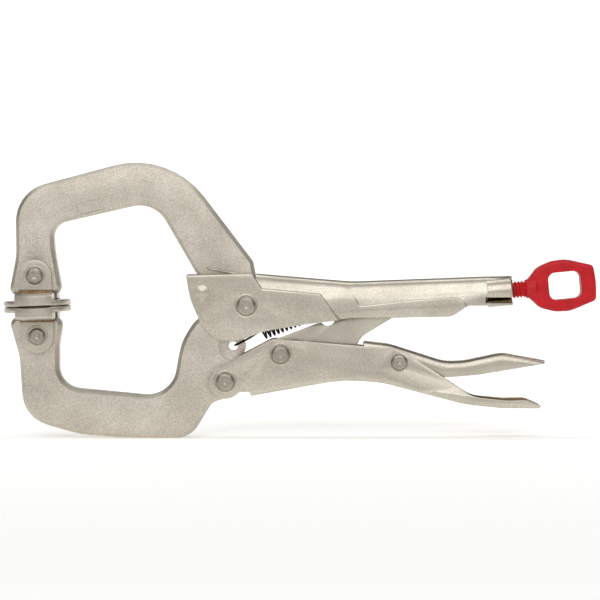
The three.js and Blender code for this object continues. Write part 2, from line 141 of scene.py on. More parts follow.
def add_node(
    tree: bpy.types.NodeTree,
    kind: str,
    inputs: dict[str | int, object] | None = None,
    **settings: object,
) -> bpy.types.Node:
    """Adds a node, sets its options, and fills or links its inputs.

    Args:
        tree: the node tree that gets the node.
        kind: the node's type name.
        inputs: for each input socket, a value or the output socket to link to it.
        settings: attributes of the node itself.

    Returns:
        The new node.
    """
    node = tree.nodes.new(kind)
    for name, value in settings.items():
        setattr(node, name, value)
    for key, value in (inputs or {}).items():
        if isinstance(value, bpy.types.NodeSocket):
            tree.links.new(value, node.inputs[key])
        else:
            node.inputs[key].default_value = value
    return node


def set_stops(ramp: bpy.types.Node, stops: Sequence[tuple[float, str]]) -> None:
    """Gives a colour ramp its stops.

    Args:
        ramp: the colour ramp node.
        stops: pairs of position and sRGB hex colour, in order.
    """
    elements = ramp.color_ramp.elements
    while len(elements) < len(stops):
        elements.new(0.5)
    for element, (position, colour) in zip(elements, stops):
        element.position = position
        element.color = linear(colour)


@dataclass(frozen=True)
class PlatedSteel:
    """Nickel plate over steel, with the surface that its making left under the plate.

    Nickel is a warm, faintly yellow grey metal. The base's grain shows through as a fine bump and
    as a speckle of lighter and darker points, and handling leaves slow cloudy changes of gloss.
    """

    name: str
    dark: str
    middle: str
    light: str
    roughness: float
    roughness_spread: float
    grain_mm: float
    grain_depth_mm: float
    cloud_mm: float = 16.0
    pit_share: float = 0.0

    def build(self) -> bpy.types.Material:
        """Makes the material.

        Returns:
            A metal whose colour, roughness and bump all follow the grain.
        """
        material = bpy.data.materials.new(self.name)
        material.use_nodes = True
        tree = material.node_tree
        tree.nodes.clear()
        at = add_node(tree, "ShaderNodeTexCoord").outputs["Object"]
        grain = add_node(
            tree,
            "ShaderNodeTexNoise",
            {"Vector": at, "Scale": per_metre(self.grain_mm), "Detail": 3.0, "Roughness": 0.6},
        )
        cloud = add_node(
            tree,
            "ShaderNodeTexNoise",
            {"Vector": at, "Scale": per_metre(self.cloud_mm), "Detail": 2.0, "Roughness": 0.5},
        )
        pits = add_node(
            tree,
            "ShaderNodeTexVoronoi",
            {"Vector": at, "Scale": per_metre(self.grain_mm * 1.8)},
            feature="F1",
        )
        pit_shape = add_node(
            tree,
            "ShaderNodeMapRange",
            {
                "Value": pits.outputs["Distance"],
                "From Min": 0.0,
                "From Max": 0.55,
                "To Min": 0.0,
                "To Max": 1.0,
            },
            interpolation_type="SMOOTHSTEP",
        )
        blasted = add_node(
            tree,
            "ShaderNodeMix",
            {"Factor": self.pit_share, "A": grain.outputs["Fac"], "B": pit_shape.outputs["Result"]},
            data_type="FLOAT",
        )
        mixed = add_node(
            tree,
            "ShaderNodeMix",
            {"Factor": 0.28, "A": blasted.outputs["Result"], "B": cloud.outputs["Fac"]},
            data_type="FLOAT",
        )
        tone = add_node(tree, "ShaderNodeValToRGB", {"Fac": mixed.outputs["Result"]})
        set_stops(tone, [(0.3, self.dark), (0.5, self.middle), (0.68, self.light)])
        gloss = add_node(
            tree,
            "ShaderNodeMapRange",
            {
                "Value": mixed.outputs["Result"],
                "From Min": 0.3,
                "From Max": 0.7,
                "To Min": self.roughness + self.roughness_spread,
                "To Max": self.roughness - self.roughness_spread,
            },
        )
        bump = add_node(
            tree,
            "ShaderNodeBump",
            {"Height": blasted.outputs["Result"], "Strength": 1.0, "Distance": self.grain_depth_mm * MM},
        )
        shader = add_node(
            tree,
            "ShaderNodeBsdfPrincipled",
            {
                "Base Color": tone.outputs["Color"],
                "Roughness": gloss.outputs["Result"],
                "Normal": bump.outputs["Normal"],
                "Metallic": 1.0,
            },
        )
        add_node(tree, "ShaderNodeOutputMaterial", {"Surface": shader.outputs["BSDF"]})
        return material


@dataclass(frozen=True)
class DippedVinyl:
    """Red PVC coating dipped over a steel core: smooth, softly glossy, slightly uneven in thickness."""

    name: str = "dipped_vinyl_red"
    deep: str = "#B80A15"
    bright: str = "#C70F1B"
    roughness: float = 0.42
    ripple_mm: float = 5.0
    ripple_depth_mm: float = 0.06
    dust_mm: float = 0.5

    def build(self) -> bpy.types.Material:
        """Makes the material.

        Returns:
            A soft plastic with slow ripples from the dip and a fine mottle in its gloss.
        """
        material = bpy.data.materials.new(self.name)
        material.use_nodes = True
        tree = material.node_tree
        tree.nodes.clear()
        at = add_node(tree, "ShaderNodeTexCoord").outputs["Object"]
        ripple = add_node(
            tree, "ShaderNodeTexNoise", {"Vector": at, "Scale": per_metre(self.ripple_mm), "Detail": 1.0}
        )
        mottle = add_node(
            tree, "ShaderNodeTexNoise", {"Vector": at, "Scale": per_metre(self.dust_mm), "Detail": 2.0}
        )
        tone = add_node(tree, "ShaderNodeValToRGB", {"Fac": ripple.outputs["Fac"]})
        set_stops(tone, [(0.35, self.deep), (0.65, self.bright)])
        gloss = add_node(
            tree,
            "ShaderNodeMapRange",
            {
                "Value": mottle.outputs["Fac"],
                "From Min": 0.3,
                "From Max": 0.7,
                "To Min": self.roughness - 0.05,
                "To Max": self.roughness + 0.06,
            },
        )
        bump = add_node(
            tree,
            "ShaderNodeBump",
            {"Height": ripple.outputs["Fac"], "Strength": 1.0, "Distance": self.ripple_depth_mm * MM},
        )
        shader = add_node(
            tree,
            "ShaderNodeBsdfPrincipled",
            {
                "Base Color": tone.outputs["Color"],
                "Roughness": gloss.outputs["Result"],
                "Normal": bump.outputs["Normal"],
                "IOR": 1.53,
                "Specular IOR Level": 0.3,
            },
        )
        add_node(tree, "ShaderNodeOutputMaterial", {"Surface": shader.outputs["BSDF"]})
        return material


@dataclass(frozen=True)
class BlackOxideWire:
    """Black oxide on drawn spring wire: near black, with a dull sheen and brighter rubbed patches."""

    name: str = "black_oxide_wire"
    black: str = "#17171A"
    rubbed: str = "#3A393B"
    roughness: float = 0.42
    patch_mm: float = 1.6
    patch_depth_mm: float = 0.02

    def build(self) -> bpy.types.Material:
        """Makes the material.

        Returns:
            A dark metal with rubbed patches.
        """
        material = bpy.data.materials.new(self.name)
        material.use_nodes = True
        tree = material.node_tree
        tree.nodes.clear()
        at = add_node(tree, "ShaderNodeTexCoord").outputs["Object"]
        patch = add_node(
            tree, "ShaderNodeTexNoise", {"Vector": at, "Scale": per_metre(self.patch_mm), "Detail": 3.0}
        )
        tone = add_node(tree, "ShaderNodeValToRGB", {"Fac": patch.outputs["Fac"]})
        set_stops(tone, [(0.45, self.black), (0.75, self.rubbed)])
        bump = add_node(
            tree,
            "ShaderNodeBump",
            {"Height": patch.outputs["Fac"], "Strength": 0.6, "Distance": self.patch_depth_mm * MM},
        )
        shader = add_node(
            tree,
            "ShaderNodeBsdfPrincipled",
            {
                "Base Color": tone.outputs["Color"],
                "Normal": bump.outputs["Normal"],
                "Metallic": 0.85,
                "Roughness": self.roughness,
            },
        )
        add_node(tree, "ShaderNodeOutputMaterial", {"Surface": shader.outputs["BSDF"]})
        return material


# Shot blasting before plating leaves fine craters about a third of a millimetre across.
BLASTED_FORGING = PlatedSteel(
    "blasted_forging_nickel", "#9E968A", "#C2BAAD", "#E2DBCF", 0.5, 0.07, 0.42, 0.05, pit_share=0.12
)
# Pressed sheet keeps its rolled skin, so the plate over it is smoother, with a pearly sheen.
PRESSED_SHEET = PlatedSteel(
    "pressed_sheet_nickel", "#ABA496", "#C4BDAF", "#DAD4C8", 0.37, 0.06, 0.5, 0.015
)
# Painted shade: a dull brown standing in for the shade and dim warm reflections inside folded channels,
# under the release lever and in the clevis recesses.
PAINTED_CHANNEL_SHADE = PlatedSteel(
    "painted_shade_brown", "#6E5A42", "#8C765A", "#A58E70", 0.55, 0.08, 0.9, 0.02
)
# A peened rivet head is struck bare after plating: darker, with a faint hammered texture.
PEENED_HEAD = PlatedSteel("peened_rivet_steel", "#8D867A", "#A8A195", "#BEB7AB", 0.4, 0.08, 0.8, 0.03)
# Turned pads are plated over fine tool marks.
TURNED_PAD = PlatedSteel("turned_pad_nickel", "#ABA397", "#C3BCAF", "#D9D3C8", 0.38, 0.06, 0.35, 0.012)
# A rolled thread is burnished by its dies.
ROLLED_THREAD = PlatedSteel(
    "rolled_thread_nickel", "#A8A195", "#C4BEB2", "#DDD8CD", 0.28, 0.06, 0.5, 0.006
)
# A weld bead is plated with the rest but stays lumpy.
WELD_BEAD = PlatedSteel("plated_weld_bead", "#9D9588", "#B9B1A4", "#D0C9BC", 0.42, 0.08, 0.7, 0.05)


class Finishes:
    """Builds each finish once and hands it out."""

    def __init__(self) -> None:
        """Starts with nothing built."""
        self._made: dict[str, bpy.types.Material] = {}

    def get(self, finish: PlatedSteel | DippedVinyl | BlackOxideWire) -> bpy.types.Material:
        """Gives the material of a finish.

        Args:
            finish: the finish wanted.

        Returns:
            Its material, built on first use.
        """
        if finish.name not in self._made:
            self._made[finish.name] = finish.build()
        return self._made[finish.name]


FINISHES = Finishes()


# ---------------------------------------------------------------------------------------------
# Modelling helpers
# ---------------------------------------------------------------------------------------------


def select_only(obj: bpy.types.Object) -> None:
    """Makes obj the one selected and active object."""
    bpy.ops.object.select_all(action="DESELECT")
    obj.select_set(True)
    bpy.context.view_layer.objects.active = obj


def apply_modifier(obj: bpy.types.Object, kind: str, **settings: object) -> None:
    """Adds a modifier to obj and applies it at once.

    Args:
        obj: the mesh object.
        kind: the modifier's type.
        settings: the modifier's settings.
    """
    select_only(obj)
    modifier = obj.modifiers.new(kind.lower(), kind)
    for name, value in settings.items():
        setattr(modifier, name, value)
    bpy.ops.object.modifier_apply(modifier=modifier.name)


def in_edit_mode(obj: bpy.types.Object, work: Callable[[], None]) -> None:
    """Runs operators on all of obj in edit mode.

    Args:
        obj: the mesh object.
        work: what to run while everything is selected.
    """
    select_only(obj)
    bpy.ops.object.mode_set(mode="EDIT")
    bpy.ops.mesh.select_all(action="SELECT")
    work()
    bpy.ops.object.mode_set(mode="OBJECT")


def settle(obj: bpy.types.Object, smooth_degrees: float = 32) -> None:
    """Applies an object's place to its mesh and shades it.

    Args:
        obj: the mesh object.
        smooth_degrees: edges flatter than this are shaded smooth.
    """
    select_only(obj)
    bpy.ops.object.transform_apply(location=True, rotation=True, scale=True)
    bpy.ops.object.shade_smooth_by_angle(angle=math.radians(smooth_degrees))


def dress(
    obj: bpy.types.Object, slot: Slot, *finishes: PlatedSteel | DippedVinyl | BlackOxideWire
) -> None:
    """Gives a piece its materials.

    Args:
        obj: the piece.
        slot: not used.
        finishes: the finishes, in the order of the mesh's material indices.
    """
    obj.data.materials.clear()
    for finish in finishes:
        obj.data.materials.append(FINISHES.get(finish))


def copy_of(node: str, name: str) -> bpy.types.Object:
    """Copies a CAD node's mesh into a new piece, with its loose triangles merged into flat faces.

    Args:
        node: the CAD node.
        name: the new piece's name.

    Returns:
        The new piece, at the node's place.
    """
    mesh = frame["nodes"][node].data.copy()
    mesh.name = name
    obj = bpy.data.objects.new(name, mesh)
    bpy.context.scene.collection.objects.link(obj)

    def merge() -> None:
        """Joins the triangles, then dissolves the edges inside each flat face."""
        bpy.ops.mesh.remove_doubles(threshold=CAD_STEP)
        bpy.ops.mesh.dissolve_limited(angle_limit=math.radians(0.4))

    in_edit_mode(obj, merge)
    mesh.materials.clear()
    return obj


def round_edges(
    obj: bpy.types.Object, width_mm: float, segments: int = 3, over_degrees: float = 24
) -> None:
    """Rounds a piece's sharp edges.

    Args:
        obj: the mesh object.
        width_mm: width of the rounding.
        segments: how many faces make the rounding.
        over_degrees: edges sharper than this are rounded.
    """
    apply_modifier(
        obj,
        "BEVEL",
        width=width_mm * MM,
        segments=segments,
        limit_method="ANGLE",
        angle_limit=math.radians(over_degrees),
        use_clamp_overlap=True,
        miter_outer="MITER_ARC",
        harden_normals=False,
    )


def paint_faces(
    obj: bpy.types.Object, index: int, chosen: Callable[[bpy.types.MeshPolygon], bool]
) -> None:
    """Gives some of a piece's faces another material.

    Args:
        obj: the mesh object.
        index: the material index for the chosen faces.
        chosen: says whether a face is one of them.
    """
    for face in obj.data.polygons:
        if chosen(face):
            face.material_index = index


def lathe_across(
    name: str, centre: Vector, rings: Sequence[tuple[float, float]], sides: int = 40
) -> bpy.types.Object:
    """Builds a body of revolution about a line across the tool.

    Args:
        name: the new object's name.
        centre: a point on the line.
        rings: radius and distance along Y of each ring in millimetres, from the front to the back.
        sides: how many sides each ring has.

    Returns:
        The closed body, at its place.
    """
    radius, along = rings[0]
    bpy.ops.object.select_all(action="DESELECT")
    bpy.ops.mesh.primitive_circle_add(
        vertices=sides,
        radius=radius * MM,
        fill_type="NGON",
        rotation=(math.pi / 2, 0, 0),
        location=(centre.x, along * MM, centre.z),
    )
    obj = bpy.context.object
    obj.name = name
    bpy.ops.object.transform_apply(location=True, rotation=True, scale=True)

    def grow() -> None:
        """Extrudes one ring after another."""
        last_radius, last_along = radius, along
        for next_radius, next_along in rings[1:]:
            step = (0, (next_along - last_along) * MM, 0)
            bpy.ops.mesh.extrude_region_move(TRANSFORM_OT_translate={"value": step})
            share = next_radius / last_radius
            pin = (centre.x, next_along * MM, centre.z)
            bpy.ops.transform.resize(value=(share, 1, share), center_override=pin)
            last_radius, last_along = next_radius, next_along
        bpy.ops.mesh.select_all(action="SELECT")
        bpy.ops.mesh.normals_make_consistent(inside=False)

    in_edit_mode(obj, grow)
    return obj


@functools.cache
def box_of(node: str) -> tuple[Vector, Vector]:
    """Gives the two corners of a CAD node's box.

    Args:
        node: the node's name.

    Returns:
        The low corner and the high corner, in metres.
    """
    low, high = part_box(node)
    return low.copy(), high.copy()


def tilt_matrix(origin: Vector, axis: Vector) -> Matrix:
    """Gives the transform that lays +X along axis with its start at origin.

    Args:
        origin: where the local origin goes.
        axis: direction of the local +X, in the X-Z plane.

    Returns:
        The world matrix.
    """
    angle = math.atan2(axis.z, axis.x)
    return Matrix.Translation(origin) @ Matrix.Rotation(-angle, 4, "Y")


def joint(name: str) -> dict:
    """Gives a joint of the frame by its name."""
    return next(j for j in frame["joints"] if j["name"] == name)


def pivot_of(name: str) -> Vector:
    """Gives the point that a hinge turns about."""
    return Vector(joint(name)["pos_m"])


def report(obj: bpy.types.Object) -> None:
    """Logs a finished piece's name and how many faces it has."""
    log.info("%s has %d faces", obj.name, len(obj.data.polygons))


# ---------------------------------------------------------------------------------------------
# Pieces
# ---------------------------------------------------------------------------------------------


@dataclass
class RefinedPart:
    """A part whose CAD solid has the right shape, given rounded edges and a finish."""

    node: str
    body: Body
    slot: Slot
    finish: PlatedSteel
    edge_mm: float = 0.35
    segments: int = 3

    def build(self) -> bpy.types.Object:
        """Makes the piece.

        Returns:
            The finished piece, riding on its body.
        """
        obj = copy_of(self.node, f"{self.node}_shape")
        round_edges(obj, self.edge_mm, self.segments)
        settle(obj)
        dress(obj, self.slot, self.finish)
        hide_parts(self.node)
        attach(obj, self.body.value)
        report(obj)
        return obj


@dataclass
class PressedChannel(RefinedPart):
    """A folded sheet channel: plated outside, with painted shade in brown inside."""

    inside_half_mm: float = 4.86
    way_in: int = -1
    flare: float = 0.0
    flare_length_mm: float = 46.0
    flare_end_mm: float = 6.0
    # Painted shade: when set, faces pointing down also get the brown shade.
    shaded_underside: bool = False
    collar_length_mm: float = 0.0
    collar_radius_mm: float = 7.05
    collar_skin_share: float = 0.93  # faces nearer the collar's axis than this are inside it
    wall_facing: float = 0.3  # least part of a normal that points inwards on an inner wall or web
    down_facing: float = 0.45
    end_facing: float = 0.5  # a collar's end faces point along it more than this

    def half_width_at(self, x: float) -> float:
        """Gives the channel's inner half width at a place along it.

        Args:
            x: the place, in metres.

        Returns:
            The half width in metres.
        """
        end = box_of(self.node)[1].x
        span = (self.flare_length_mm - self.flare_end_mm) * MM
        share = min(max((x - end + self.flare_length_mm * MM) / span, 0), 1)
        return self.inside_half_mm * MM * (1 + self.flare * share * share * (3 - 2 * share))

    def in_painted_shade(self, face: bpy.types.MeshPolygon) -> bool:
        """Says whether a face gets the painted shade: one that looks into the channel or, where the
        underside is shaded, one that faces down.

        Args:
            face: the face.

        Returns:
            True for the inner walls, the web's inner side, the inside of a collar's seam, and faces
            pointing down when the underside is shaded.
        """
        x, y, z = face.center
        high = box_of(self.node)[1]
        if self.collar_length_mm and x > high.x - self.collar_length_mm * MM:
            toe = pivot_of("knob_turn")
            axis = Vector(joint("knob_turn")["axis"])
            middle = toe.z + (x - toe.x) * axis.z / axis.x
            skin = self.collar_skin_share * self.collar_radius_mm * MM
            return math.hypot(y, z - middle) < skin and abs(face.normal.x) < self.end_facing
        if face.normal.y * y < 0 and abs(face.normal.y) > self.wall_facing:
            return True
        if self.shaded_underside and face.normal.z < -self.down_facing:
            return True
        return abs(y) < self.half_width_at(x) and face.normal.z * self.way_in > self.wall_facing

    def build(self) -> bpy.types.Object:
        """Makes the channel and paints shade in brown on its inner walls and web.

        Returns:
            The finished channel, riding on its body.
        """
        obj = super().build()
        dress(obj, self.slot, self.finish, PAINTED_CHANNEL_SHADE)
        # Painted shade: the chosen faces get the brown shade material in place of the plate.
        paint_faces(obj, 1, self.in_painted_shade)
        return obj


@dataclass
class PadClevis(RefinedPart):
    """A pad's clevis, with a strip of painted shade in brown where its ears rise from its folded plate.
    """

    strip_from_mm: float = 6.2
    strip_to_mm: float = 7.7

    def build(self) -> bpy.types.Object:
        """Makes the clevis.

        Returns:
            The finished clevis, riding on its pad.
        """
        obj = super().build()
        dress(obj, self.slot, self.finish, PAINTED_CHANNEL_SHADE)
        bottom, top = box_of(self.node)
        way = 1 if top.z > -bottom.z else -1

        def split() -> None:
            """Cuts an edge round the ears where the strip ends."""
            height = (0, 0, way * self.strip_to_mm * MM)
            bpy.ops.mesh.bisect(plane_co=height, plane_no=(0, 0, 1))

        in_edit_mode(obj, split)
        low, high = self.strip_from_mm * MM, self.strip_to_mm * MM
        # Painted shade: the strip at the foot of the ears gets the brown shade material.
        paint_faces(obj, 1, lambda face: low < way * face.center.z < high)
        return obj


@dataclass
class Rivet:
    """A peened rivet: flat heads with a struck dimple and a sloping edge, seated on both sides."""

    node: str
    body: Body
    ring_body: Body | None = None
    shank_share: float = 0.66
    head_mm: float = 1.3
    seat_mm: float = 0.3
    ring_width_mm: float = 1.0
    ring_rise_mm: float = 0.3

    def build(self) -> bpy.types.Object:
        """Makes the rivet and the pressed-up rings round its heads.

        Returns:
            The rivet, riding on its body.
        """
        low, high = box_of(self.node)
        centre = (low + high) / 2
        radius = (high.x - low.x) / 2 / MM
        face = high.y / MM
        seat = face - self.head_mm - self.seat_mm
        half = [(0.08, face - 0.22), (0.16, face - 0.03), (0.68, face), (0.76, face - 0.06)]
        half += [(0.86, face - 0.34), (0.96, face - 0.8), (1, face - 1.1)]
        half += [(1, seat + 0.02), (self.shank_share, seat + 0.01)]
        rings = [(share * radius, -along) for share, along in half]
        rings += [(share * radius, along) for share, along in reversed(half)]
        obj = lathe_across(f"{self.node}_head", centre, rings)
        settle(obj, 40)
        dress(obj, Slot.RIVET, PEENED_HEAD)
        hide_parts(self.node)
        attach(obj, self.body.value)
        if self.ring_body:
            for way in (-1, 1):
                self.add_ring(centre, radius, way * seat, way)
        report(obj)
        return obj

    def add_ring(self, centre: Vector, radius: float, seat: float, way: int) -> None:
        """Adds the low ring that the sheet is pressed up into round a head.

        Args:
            centre: the rivet's centre.
            radius: the head's radius in millimetres.
            seat: where the sheet's face is along Y, in millimetres.
            way: -1 for the front, 1 for the back.
        """
        bpy.ops.object.select_all(action="DESELECT")
        bpy.ops.mesh.primitive_torus_add(
            major_radius=(radius + 0.3 + self.ring_width_mm / 2) * MM,
            minor_radius=self.ring_width_mm / 2 * MM,
            major_segments=56,
            minor_segments=16,
            rotation=(math.pi / 2, 0, 0),
            location=(centre.x, seat * MM, centre.z),
        )
        ring = bpy.context.object
        ring.name = f"{self.node}_seat_{'front' if way < 0 else 'back'}"
        ring.scale = (1, 1, 2 * self.ring_rise_mm / self.ring_width_mm)
        settle(ring, 60)
        dress(ring, Slot.SHEET, PRESSED_SHEET)
        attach(ring, self.ring_body.value)


@dataclass
class SetPin:
    """The small pin that sets the fixed jaw, pressed over into a low dome on each cheek."""

    node: str = "fixed_jaw_pin"
    dome: tuple[tuple[float, float], ...] = (  # radius and rise above the cheek
        (0.3, 0.62),
        (0.9, 0.55),
        (1.5, 0.36),
        (2.1, 0.2),
        (2.75, 0.14),
        (3.1, 0.0),
    )
    shank_mm: float = 1.7
    sunk_mm: float = 0.2

    def build(self) -> bpy.types.Object:
        """Makes the pin.

        Returns:
            The pin, riding on the upper handle.
        """
        low, high = box_of(self.node)
        cheek = high.y / MM + self.sunk_mm
        rings = [(radius, -cheek - rise) for radius, rise in self.dome]
        rings += [(self.shank_mm, -cheek + self.sunk_mm), (self.shank_mm, cheek - self.sunk_mm)]
        rings += [(radius, cheek + rise) for radius, rise in reversed(self.dome)]
        obj = lathe_across("fixed_jaw_pin_dome", (low + high) / 2, rings, sides=32)
        settle(obj, 50)
        dress(obj, Slot.RIVET, PRESSED_SHEET)
        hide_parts(self.node)
        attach(obj, Body.UPPER_HANDLE.value)
        report(obj)
        return obj


@dataclass
class GripRibs:
    """Low ribs pressed across the rounded back of the release lever."""

    first_mm: float = 81.5
    pitch_mm: float = 2.3
    count: int = 5
    slope_degrees: float = -20.0
    top_mm: tuple[float, float] = (-25.4, -0.40)
    radius_mm: float = 4.1
    thickness_mm: float = 0.42

    def build(self) -> None:
        """Makes every rib, riding on the release lever."""
        pivot = pivot_of("jaw_pivot")
        for k in range(self.count):
            along = self.first_mm + k * self.pitch_mm
            height = self.top_mm[0] + self.top_mm[1] * k * self.pitch_mm
            centre = pivot + Vector((along, 0, height - self.radius_mm)) * MM
            bpy.ops.object.select_all(action="DESELECT")
            bpy.ops.mesh.primitive_torus_add(
                major_radius=self.radius_mm * MM,
                minor_radius=self.thickness_mm * MM,
                major_segments=48,
                minor_segments=10,
                rotation=(0, math.pi / 2 - math.radians(self.slope_degrees), 0),
                location=centre,
            )
            rib = bpy.context.object
            rib.name = f"release_lever_rib_{k + 1}"
            bpy.ops.object.transform_apply(location=True, rotation=True, scale=True)
            in_edit_mode(
                rib,
                lambda: bpy.ops.mesh.bisect(
                    plane_co=tuple(centre), plane_no=(0, 0, -1), use_fill=True, clear_outer=True
                ),
            )
            settle(rib, 60)
            dress(rib, Slot.SHEET, PRESSED_SHEET)
            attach(rib, Body.RELEASE_LEVER.value)
            report(rib)


@dataclass
class Badge:
    """The raised frame, left blank, that the die leaves on the fixed jaw's front face."""

    from_pad_mm: float = 27.3
    below_top_mm: float = 20.2
    length_mm: float = 17.6
    height_mm: float = 7.2
    corner_mm: float = 2.6
    line_mm: float = 0.75
    rise_mm: float = 0.28
    slope_degrees: float = 14.5
    face_half_mm: float = 4.5
    sunk_mm: float = 0.3

    def build(self) -> bpy.types.Object:
        """Makes the frame.

        Returns:
            The frame, riding with the fixed jaw.
        """
        top = box_of("fixed_jaw")[1].z
        bpy.ops.object.select_all(action="DESELECT")
        bpy.ops.mesh.primitive_plane_add(size=1)
        obj = bpy.context.object
        obj.name = "jaw_badge_frame"
        obj.scale = (self.length_mm * MM, self.height_mm * MM, 1)
        bpy.ops.object.transform_apply(location=False, rotation=False, scale=True)

        def shape() -> None:
            """Rounds the corners, cuts out the middle and raises the line."""
            bpy.ops.mesh.bevel(offset=self.corner_mm * MM, segments=8, affect="VERTICES")
            bpy.ops.mesh.select_all(action="SELECT")
            bpy.ops.mesh.inset(thickness=self.line_mm * MM)
            bpy.ops.mesh.delete(type="FACE")
            bpy.ops.mesh.select_all(action="SELECT")
            height = (0, 0, (self.rise_mm + self.sunk_mm) * MM)
            bpy.ops.mesh.extrude_region_move(TRANSFORM_OT_translate={"value": height})
            bpy.ops.mesh.select_all(action="SELECT")
            bpy.ops.mesh.normals_make_consistent(inside=False)

        in_edit_mode(obj, shape)
        round_edges(obj, 0.16, 3)
        depth = -(self.face_half_mm - self.sunk_mm) * MM
        place = Vector((self.from_pad_mm * MM, depth, top - self.below_top_mm * MM))
        slope = Matrix.Rotation(-math.radians(self.slope_degrees), 4, "Y")
        turn = slope @ Matrix.Rotation(math.pi / 2, 4, "X")
        obj.matrix_world = Matrix.Translation(place) @ turn
        settle(obj)
        dress(obj, Slot.FORGED, BLASTED_FORGING)
        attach(obj, Body.UPPER_HANDLE.value)
        report(obj)
        return obj


@dataclass
class WeldBead:
    """A short fillet weld between the fixed jaw and the top edge of a cheek, with ripples."""

    start_x_mm: float = -18.6
    end_x_mm: float = -4.0
    start_z_mm: float = 17.8
    end_z_mm: float = 14.9
    side_mm: float = 4.55
    radius_mm: float = 0.75
    ripple_mm: float = 1.0

    def build(self, way: int) -> bpy.types.Object:
        """Makes the bead of one side.

        Args:
            way: -1 for the front side, 1 for the back side.

        Returns:
            The bead, riding on the upper handle.
        """
        pivot = pivot_of("jaw_pivot")
        start = pivot + Vector((self.start_x_mm, way * self.side_mm, self.start_z_mm)) * MM
        end = pivot + Vector((self.end_x_mm, way * self.side_mm, self.end_z_mm)) * MM
        steps = 2 * round((end - start).length / (self.ripple_mm * MM))
        advance = (end - start) / steps
        bpy.ops.object.select_all(action="DESELECT")
        bpy.ops.mesh.primitive_circle_add(
            vertices=14,
            radius=self.radius_mm * MM * 0.55,
            fill_type="NGON",
            rotation=(0, math.pi / 2, 0),
            location=start,
        )
        obj = bpy.context.object
        obj.name = f"weld_bead_{'front' if way < 0 else 'back'}"
        bpy.ops.object.transform_apply(location=True, rotation=True, scale=True)

        def sweep() -> None:
            """Extrudes the section along the bead, swelling and shrinking it at each ripple."""
            grow = 1.6
            for k in range(steps):
                bpy.ops.mesh.extrude_region_move(TRANSFORM_OT_translate={"value": tuple(advance)})
                centre = start + advance * (k + 1)
                factor = grow if k == 0 else (0.93 if k % 2 else 1 / 0.93)
                factor = 0.6 if k == steps - 1 else factor
                bpy.ops.transform.resize(value=(1, factor, factor), center_override=tuple(centre))
            bpy.ops.mesh.select_all(action="SELECT")
            bpy.ops.mesh.normals_make_consistent(inside=False)

        in_edit_mode(obj, sweep)
        apply_modifier(obj, "SUBSURF", levels=1, render_levels=1)
        settle(obj, 60)
        dress(obj, Slot.FORGED, WELD_BEAD)
        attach(obj, Body.UPPER_HANDLE.value)
        report(obj)
        return obj


@dataclass
class ThreadedScrew:
    """The adjusting screw, with a rolled thread along its whole length."""

    crest_mm: float = 4.0
    root_mm: float = 3.35
    into_knob_mm: float = 0.9
    coated_inside_collar_mm: float = 1.5
    pitch_mm: float = 1.6
    steps: int = 32

    def build(self) -> bpy.types.Object:
        """Makes the threaded rod.

        Returns:
            The rod, riding with the knob.
        """
        axis = Vector(joint("knob_turn")["axis"]).normalized()
        toe = pivot_of("knob_turn")
        low, high = box_of("adjusting_screw")
        start = (low.x - toe.x) / axis.x + self.crest_mm * MM * axis.z
        end = (high.x - toe.x) / axis.x + self.into_knob_mm * MM
        turns = int((end - start) / (self.pitch_mm * MM))
        start = end - turns * self.pitch_mm * MM
        root, crest = self.root_mm, self.crest_mm
        section = [(0, root), (0.14, root), (0.42, crest), (0.58, crest), (0.86, root), (1, root)]
        profile = [(share * self.pitch_mm * MM, 0, radius * MM) for share, radius in section]
        mesh = bpy.data.meshes.new("screw_thread")
        mesh.from_pydata(profile, [(i, i + 1) for i in range(len(profile) - 1)], [])
        obj = bpy.data.objects.new("screw_thread", mesh)
        bpy.context.scene.collection.objects.link(obj)
        apply_modifier(
            obj,
            "SCREW",
            axis="X",
            angle=2 * math.pi,
            screw_offset=self.pitch_mm * MM,
            iterations=turns,
            steps=self.steps,
            render_steps=self.steps,
            use_merge_vertices=False,
        )

        def close() -> None:
            """Joins the turns and closes both ends."""
            bpy.ops.mesh.remove_doubles(threshold=CAD_STEP)
            bpy.ops.mesh.select_all(action="DESELECT")
            bpy.ops.mesh.select_non_manifold()
            bpy.ops.mesh.fill()
            bpy.ops.mesh.select_all(action="SELECT")
            bpy.ops.mesh.normals_make_consistent(inside=False)

        in_edit_mode(obj, close)
        obj.matrix_world = tilt_matrix(toe + axis * start, axis)
        settle(obj, 50)
        dress(obj, Slot.SCREW, ROLLED_THREAD, DippedVinyl())
        coated = box_of("upper_handle")[1].x - self.coated_inside_collar_mm * MM
        paint_faces(obj, 1, lambda face: face.center.x > coated)
        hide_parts("adjusting_screw")
        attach(obj, Body.SCREW.value)
        report(obj)
        return obj


@dataclass
class ThumbKnob:
    """The flat red thumb knob, softened all over by its dipped coating."""

    voxel_mm: float = 0.36
    passes: int = 8

    def build(self) -> bpy.types.Object:
        """Makes the knob.

        Returns:
            The knob, riding with the screw.
        """
        obj = copy_of("thumb_knob", "thumb_knob_coated")
        apply_modifier(obj, "REMESH", mode="VOXEL", voxel_size=self.voxel_mm * MM)
        apply_modifier(obj, "SMOOTH", factor=0.5, iterations=self.passes)
        select_only(obj)
        bpy.ops.object.shade_smooth()
        dress(obj, Slot.RED, DippedVinyl())
        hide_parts("thumb_knob")
        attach(obj, Body.SCREW.value)
        report(obj)
        return obj


